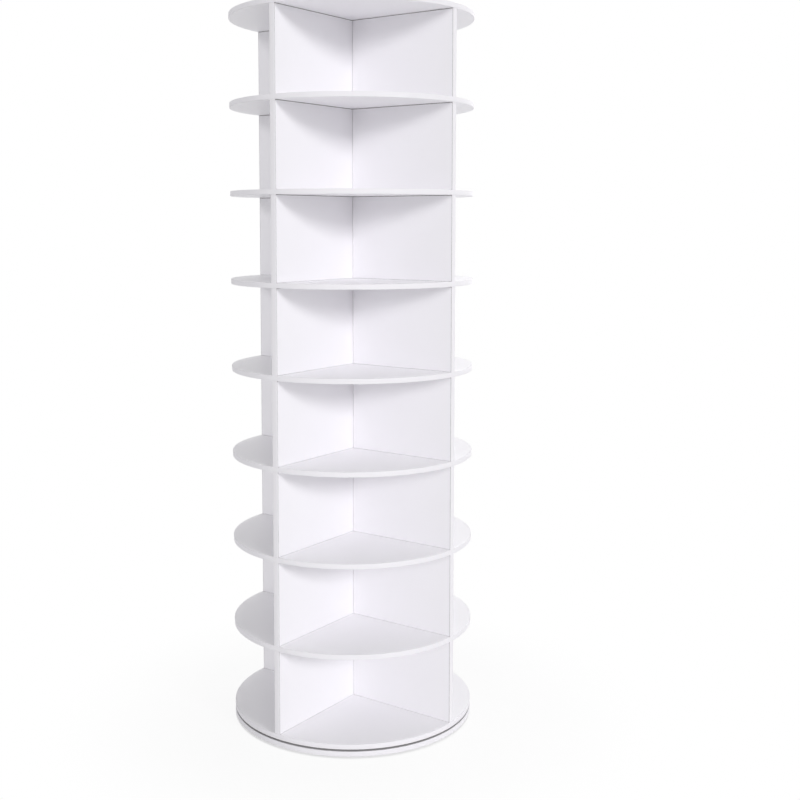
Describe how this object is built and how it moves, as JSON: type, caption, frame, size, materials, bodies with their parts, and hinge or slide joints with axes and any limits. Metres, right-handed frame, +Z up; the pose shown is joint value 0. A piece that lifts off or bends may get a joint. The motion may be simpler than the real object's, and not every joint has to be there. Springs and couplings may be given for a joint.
{
  "type": "rotating shoe tower",
  "caption": "Tall round revolving shoe rack: white discs on crossed dividers, open compartments all round, turning on a ball-bearing base.",
  "frame": {"origin": "on the floor under the turning axis", "axes": "+Z up the turning axis; +Y and -Y along the long dividers; +X and -X along the short dividers"},
  "size_m": [0.6, 0.6, 1.746],
  "materials": {
    "shelf_board": "smooth white melamine face, satin",
    "divider_board": "smooth white melamine face, satin",
    "edge_band": "white edge band, satin",
    "foot_rubber": "moulded grey rubber",
    "plated_steel": "zinc-plated",
    "ring_aluminium": "satin",
    "ball_steel": "polished",
    "cage_plastic": "natural nylon",
    "cam_zinc": "die-cast zinc, dull",
    "cap_plastic": "white cap, semi-gloss",
    "dowel_beech": "bare beech"
  },
  "bodies": {
    "base": {"base_disc": "shelf_board", "base_edge_band": "edge_band", "base_feet": "foot_rubber", "foot_screws": "plated_steel", "turntable_outer_ring": "ring_aluminium", "outer_ring_screws": "plated_steel"},
    "cage": {"ball_cage": "cage_plastic", "bearing_balls": "ball_steel"},
    "tower": {"turntable_inner_ring": "ring_aluminium", "inner_ring_screws": "plated_steel", "bottom_shelf": "shelf_board", "shelf_1": "shelf_board", "shelf_2": "shelf_board", "shelf_3": "shelf_board", "shelf_4": "shelf_board", "shelf_5": "shelf_board", "shelf_6": "shelf_board", "shelf_7": "shelf_board", "top_disc": "shelf_board", "shelf_edge_bands": "edge_band", "long_divider_1": "divider_board", "long_divider_2": "divider_board", "long_divider_3": "divider_board", "long_divider_4": "divider_board", "long_divider_5": "divider_board", "long_divider_6": "divider_board", "long_divider_7": "divider_board", "long_divider_8": "divider_board", "left_divider_1": "divider_board", "left_divider_2": "divider_board", "left_divider_3": "divider_board", "left_divider_4": "divider_board", "left_divider_5": "divider_board", "left_divider_6": "divider_board", "left_divider_7": "divider_board", "left_divider_8": "divider_board", "right_divider_1": "divider_board", "right_divider_2": "divider_board", "right_divider_3": "divider_board", "right_divider_4": "divider_board", "right_divider_5": "divider_board", "right_divider_6": "divider_board", "right_divider_7": "divider_board", "right_divider_8": "divider_board", "divider_edge_bands": "edge_band", "cam_locks": "cam_zinc", "cam_caps": "cap_plastic", "through_bolts": "plated_steel", "end_bolts": "plated_steel", "centre_bolts": "plated_steel", "through_dowels": "dowel_beech", "end_dowels": "dowel_beech", "centre_dowels": "dowel_beech"}
  },
  "joints": [
    {"name": "tower_spin", "type": "hinge", "parent": "base", "child": "tower", "pos_m": [0, 0, 0.018], "axis": [0, 0, 1], "continuous": true},
    {"name": "cage_spin", "type": "hinge", "parent": "base", "child": "cage", "pos_m": [0, 0, 0.018], "axis": [0, 0, 1], "continuous": true}
  ],
  "couplings": [
    {"joint": "cage_spin", "follows": "tower_spin", "ratio": 0.4861}
  ]
}
